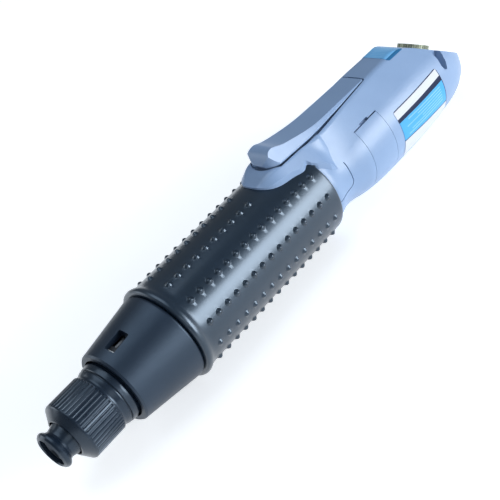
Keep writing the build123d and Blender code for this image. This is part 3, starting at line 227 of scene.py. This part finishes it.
M["steel"] = metal("steel", (0.42, 0.43, 0.45), (0.62, 0.63, 0.65), (0.22, 0.38), (0.2, 1.0, 1.0))
M["dark_steel"] = metal("dark_steel", (0.035, 0.04, 0.05), (0.075, 0.085, 0.10), (0.28, 0.42), (0.2, 1.0, 1.0))
M["bronze"] = metal("bronze", (0.33, 0.19, 0.08), (0.5, 0.31, 0.15), (0.35, 0.5))
M["brass"] = metal("brass", (0.55, 0.4, 0.16), (0.72, 0.56, 0.26), (0.25, 0.4))
M["copper"] = metal("copper", (0.5, 0.2, 0.08), (0.72, 0.36, 0.18), (0.3, 0.45), (1.0, 0.3, 0.3))
M["socket_metal"] = metal("socket_metal", (0.16, 0.18, 0.13), (0.30, 0.32, 0.25), (0.26, 0.4))
M["white_plastic"] = plastic("white_plastic", (0.72, 0.74, 0.76), (0.82, 0.84, 0.86), (0.35, 0.45), 0.15)
M["grey_plastic"] = plastic("grey_plastic", (0.035, 0.04, 0.045), (0.06, 0.065, 0.075), (0.5, 0.65), 0.4)
M["magnet"] = plastic("magnet", (0.02, 0.02, 0.022), (0.045, 0.045, 0.05), (0.55, 0.7), 0.6)
M["carbon"] = plastic("carbon", (0.008, 0.008, 0.008), (0.02, 0.02, 0.02), (0.5, 0.65), 0.5)
M["board"] = plastic("board", (0.01, 0.09, 0.04), (0.02, 0.14, 0.06), (0.3, 0.45), 0.2)


WHITE, NAVY, SKY = (0.52, 0.54, 0.59), (0.004, 0.012, 0.045), (0.060, 0.31, 0.60)


def panel_label(name, obj):
    """Printed side label: white strip, dark stripe, light panel with rules, thin dark line, white strip, dark edge line."""
    pts = np.array([v.co for v in obj.data.vertices], float).reshape(-1, 3)
    lo_, hi_ = pts.min(axis=0), pts.max(axis=0)
    k = Mat(name)
    sep = k.node("ShaderNodeSeparateXYZ")
    k.link(k.coord(), sep.inputs["Vector"])
    x, z = sep.outputs["X"], sep.outputs["Z"]
    along = k.math("ADD", x, 0.201)
    screen = k.noise(2.4, 3.0, 0.6)
    soft = k.noise(0.12, 2.0, 0.5)
    sky = k.mix(k.span(soft, 0.3, 0.7, 0.0, 0.3), SKY, (0.10, 0.37, 0.64))
    hit = None
    for zc, x0, x1, half in ((2.7, -214.0, -190.0, 0.14), (1.5, -214.0, -196.0, 0.12), (0.3, -214.0, -188.0, 0.12),
                             (-0.9, -214.0, -198.5, 0.12), (-2.1, -214.0, -190.5, 0.12), (-3.3, -214.0, -188.0, 0.14)):
        inz = k.math("LESS_THAN", k.math("ABSOLUTE", k.math("SUBTRACT", k.math("SUBTRACT", z, k.math("MULTIPLY", along, 0.03)), zc * MM)), half * MM)
        inx = k.math("MULTIPLY", k.math("GREATER_THAN", x, x0 * MM), k.math("LESS_THAN", x, x1 * MM))
        both = k.math("MULTIPLY", inz, inx)
        hit = both if hit is None else k.math("MAXIMUM", hit, both)
    sky = k.mix(k.math("MULTIPLY", hit, 0.8), sky, (0.34, 0.56, 0.72))
    low = k.math("SUBTRACT", z, k.math("MULTIPLY", along, 0.072))
    top = k.math("SUBTRACT", z, k.math("MULTIPLY", along, 0.019))
    col = k.mix(k.math("GREATER_THAN", low, -5.55 * MM), WHITE, NAVY)
    col = k.mix(k.math("GREATER_THAN", low, -5.15 * MM), col, sky)
    col = k.mix(k.math("GREATER_THAN", top, 4.0 * MM), col, NAVY)
    col = k.mix(k.math("GREATER_THAN", z, 5.9 * MM), col, WHITE)
    col = k.mix(k.math("GREATER_THAN", z, float(hi_[2]) - 0.30 * MM), col, NAVY)
    col = k.mix(k.math("LESS_THAN", x, float(lo_[0]) + 0.35 * MM), col, NAVY)
    k.set(color=col, rough=k.span(screen, 0.3, 0.7, 0.30, 0.40), coat=0.0, coat_rough=0.15, spec=0.16)
    k.bump([(screen, 0.05, 0.02), (soft, 0.15, 0.3)])
    return k.m


def sticker(name):
    """Small glossy sticker folded over the ridge: light panel, darker edge on both sides, fine rules."""
    k = Mat(name)
    sep = k.node("ShaderNodeSeparateXYZ")
    k.link(k.coord(), sep.inputs["Vector"])
    ay = k.math("ABSOLUTE", sep.outputs["Y"])
    screen = k.noise(2.4, 3.0, 0.6)
    soft = k.noise(0.15, 2.0, 0.5)
    col = k.mix(k.span(soft, 0.3, 0.7, 0.0, 0.35), (0.13, 0.36, 0.64), (0.20, 0.46, 0.74))
    rule = k.math("GREATER_THAN", k.math("SINE", k.math("MULTIPLY", sep.outputs["X"], 5200.0)), 0.86)
    inner = k.math("LESS_THAN", ay, 3.4 * MM)
    col = k.mix(k.math("MULTIPLY", k.math("MULTIPLY", rule, inner), 0.35), col, (0.42, 0.66, 0.86))
    col = k.mix(k.math("GREATER_THAN", ay, 6.1 * MM), col, (0.02, 0.11, 0.24))
    k.set(color=col, rough=k.span(screen, 0.3, 0.7, 0.30, 0.40), coat=0.0, coat_rough=0.15, spec=0.16)
    k.bump([(screen, 0.05, 0.02), (soft, 0.15, 0.3)])
    return k.m


M["label_face"] = panel_label("label_face", nodes["rating_label"])
M["top_label_face"] = sticker("top_label_face")

slot_of = {s["node"]: s["material_slot"] for s in frame["record"]["subparts"]}
SPECIAL = {"nose_housing": "nose_plastic"}
for n, o in nodes.items():
    key = SPECIAL.get(n, slot_of.get(n, "steel"))
    o.data.materials.clear()
    o.data.materials.append(M[key])


# ------------------------------------------------------------------ own pieces
def turned(name, stations, az, radius, node, body):
    """Closed turned piece about X: outer surface radius(i, a) at each station, then the inner bore, joined end to end."""
    bm_ = bmesh.new()
    rings = []
    for i, st in enumerate(stations):
        rings.append([bm_.verts.new((st[0] * MM, radius(st, a) * math.sin(a) * MM, radius(st, a) * math.cos(a) * MM)) for a in az])
    n = len(az)
    for i in range(len(rings)):
        r0, r1 = rings[i], rings[(i + 1) % len(rings)]
        for j in range(n):
            bm_.faces.new((r0[j], r0[(j + 1) % n], r1[(j + 1) % n], r1[j]))
    bmesh.ops.recalc_face_normals(bm_, faces=bm_.faces)
    me = bpy.data.meshes.new(name)
    bm_.to_mesh(me)
    bm_.free()
    for p in me.polygons:
        p.use_smooth = True
    me.set_sharp_from_angle(angle=math.radians(32))
    o = bpy.data.objects.new(name, me)
    scene.collection.objects.link(o)
    src = nodes[node]
    me.materials.append(src.data.materials[0])
    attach(o, body)
    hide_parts(node)
    return o


# torque nut with crisp flutes between the chamfer and the first rear ring
nut_az = []
pitch = 2 * math.pi / 48
for j in range(48):
    for t in (-0.72, -0.60, -0.50, -0.46, -0.36, -0.20, 0.0, 0.20, 0.36, 0.46, 0.50, 0.60):
        nut_az.append(j * pitch + t / 12.0)
nut_outer = [(-7.0, 7.4), (-7.0, 8.0), (-7.15, 8.25), (-7.4, 8.55), (-9.4, 11.6), (-9.7, 11.85), (-10.0, 12.0), (-10.15, 12.0), (-10.7, 12.0),
             (-16.5, 12.0), (-22.7, 12.0), (-23.2, 12.0), (-23.35, 12.0), (-23.55, 11.85), (-23.75, 11.55), (-24.0, 11.45), (-24.6, 11.45),
             (-24.95, 11.6), (-26.1, 12.05), (-26.4, 12.1), (-26.6, 12.0), (-26.68, 11.7), (-27.1, 11.7), (-27.18, 12.1), (-27.4, 12.3),
             (-28.6, 12.42), (-29.4, 12.48), (-29.8, 12.4), (-30.1, 12.15), (-30.3, 11.9), (-36.0, 11.9), (-36.0, 9.08), (-9.5, 9.08), (-9.5, 7.4)]


def nut_radius(st, a):
    x, r = st
    if not (-23.2 <= x <= -10.15 and r > 11.9):
        return r
    deep = 0.45 if -22.7 <= x <= -10.7 else 0.0
    t = ((a + pitch / 2) % pitch - pitch / 2) * 12.0
    if abs(t) >= 0.5:
        return r
    return r - deep * math.sqrt(max(0.0, 1.0 - (t / 0.5) ** 2))


torque_nut = turned("nut_fluted", nut_outer, nut_az, nut_radius, "torque_nut", "torque_nut")

# rubber grip with its rows of low domes
dot_x = [-66.1 - 5.0 * i for i in range(15)]
g_st = [(-57.8, 17.3), (-57.8, 19.2), (-57.95, 19.75), (-58.2, 20.05), (-58.6, 20.26), (-59.2, 20.36), (-59.8, 20.3), (-60.3, 20.14),
        (-60.8, 19.95), (-61.2, 19.75), (-61.7, 19.57), (-62.4, 19.4), (-63.2, 19.31), (-64.0, 19.3)]
U = tuple(round(1.0 - 0.1 * i, 3) for i in range(21))
DOME = 1.42
for xd in dot_x:
    g_st += [(xd + DOME * u, 19.3) for u in U] + [(xd - 2.5, 19.3)]
g_st += [(-139.5, 19.3), (-140.7, 19.3), (-141.1, 19.2), (-141.4, 18.95), (-141.5, 18.7), (-141.5, 17.3)]
g_az = []
for j in range(12):
    c0 = math.radians(15 + 30 * j)
    half = DOME / 19.3
    g_az += [c0 - math.radians(13.0), c0 - math.radians(9.0)]
    g_az += [c0 - half * u for u in U]
    g_az += [c0 + math.radians(9.0), c0 + math.radians(13.0)]


def grip_radius(st, a):
    x, r = st
    if r < 19.29 or x > -64.0 or x < -139.6:
        return r
    i = int(round((-66.1 - x) / 5.0))
    if not 0 <= i < 15:
        return r
    j = int(round((math.degrees(a) - 15.0) / 30.0)) % 12
    if j in (0, 11) and i > 9:
        return r
    da = (a - math.radians(15 + 30 * j) + math.pi) % (2 * math.pi) - math.pi
    d = math.hypot(x - (-66.1 - 5.0 * i), da * 19.3)
    if d >= DOME:
        return r
    return r + 1.0 * (1.0 - (d / DOME) ** 2) ** 1.3


grip = turned("grip_dotted", g_st, g_az, grip_radius, "grip_sleeve", "root")

# springs: each gets its own mesh copy; the anchor at its low end is computed but not used
for spring, joint, axis, end, keep in (("clutch_spring", "torque_travel", 0, 0, 0.56), ("collar_spring", "collar_slide", 0, 0, 0.60),
                                       ("lever_spring", "lever_press", 2, 0, 0.30)):
    pts = np.array([v.co for v in nodes[spring].data.vertices], float).reshape(-1, 3)
    anchor = pts.mean(axis=0)
    anchor[axis] = pts[:, axis].min()
    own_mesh(nodes[spring])

# ------------------------------------------------------------------ floor and lights
all_pts = np.concatenate([np.array([v.co for v in o.data.vertices], float).reshape(-1, 3) for o in nodes.values()])
front = all_pts[all_pts[:, 0] > -0.08]
rear = all_pts[all_pts[:, 0] < -0.125]
pf = front[front[:, 2].argmin()]
slope = float(max((p[2] - pf[2]) / (p[0] - pf[0]) for p in rear[rear[:, 2] < -0.0185]))
under = float((all_pts[:, 2] - pf[2] - slope * (all_pts[:, 0] - pf[0])).min())


def floor_z(x):
    return pf[2] + slope * (x - pf[0]) + min(under, 0.0) - 0.00005


bm = bmesh.new()
R = 3.0
cx = -0.12
vs = [bm.verts.new((cx + a * R, b * R, floor_z(cx + a * R))) for a, b in ((-1, -1), (1, -1), (1, 1), (-1, 1))]
bm.faces.new(vs)
fm = bpy.data.meshes.new("floor")
bm.to_mesh(fm)
bm.free()
floor = bpy.data.objects.new("floor", fm)
scene.collection.objects.link(floor)
kf = Mat("floor_paper")
fn = kf.noise(0.02, 4.0, 0.6)
ff = kf.noise(1.2, 3.0, 0.6)
kf.set(color=kf.ramp(fn, [(0.3, (0.90, 0.90, 0.905)), (0.7, (0.94, 0.94, 0.945))]), rough=kf.span(ff, 0.3, 0.7, 0.75, 0.85), spec=0.2)
kf.bump([(ff, 0.05, 0.05)])
kf.b.inputs["Emission Color"].default_value = (0.97, 0.985, 1.0, 1.0)
kf.b.inputs["Emission Strength"].default_value = 0.5
fm.materials.append(kf.m)

world = bpy.data.worlds.new("studio")
scene.world = world
world.use_nodes = True
world.node_tree.nodes["Background"].inputs["Color"].default_value = (0.80, 0.90, 1.0, 1.0)
world.node_tree.nodes["Background"].inputs["Strength"].default_value = 0.24


def area(name, loc, target, size, power, color=(1, 1, 1), spread=180.0):
    d = bpy.data.lights.new(name, "AREA")
    d.shape = "RECTANGLE"
    d.size, d.size_y = size
    d.energy = power
    d.color = color
    d.spread = math.radians(spread)
    o = bpy.data.objects.new(name, d)
    scene.collection.objects.link(o)
    o.location = loc
    o.rotation_mode = "QUATERNION"
    o.rotation_quaternion = (Vector(loc) - Vector(target)).to_track_quat("Z", "Y")
    return o


centre = (-0.13, 0.0, 0.0)
area("key", (-0.62, 0.90, 0.24), centre, (0.85, 0.50), 13.0, (0.93, 0.965, 1.0))
area("top", (-0.05, -0.2, 1.2), centre, (0.9, 0.9), 4.6, (0.80, 0.90, 1.0))
area("back", (0.40, -0.90, 0.40), centre, (0.7, 0.5), 2.2, (0.92, 0.96, 1.0))
area("side", (0.45, 0.95, 0.55), centre, (0.7, 0.5), 1.4, (0.95, 0.98, 1.0))
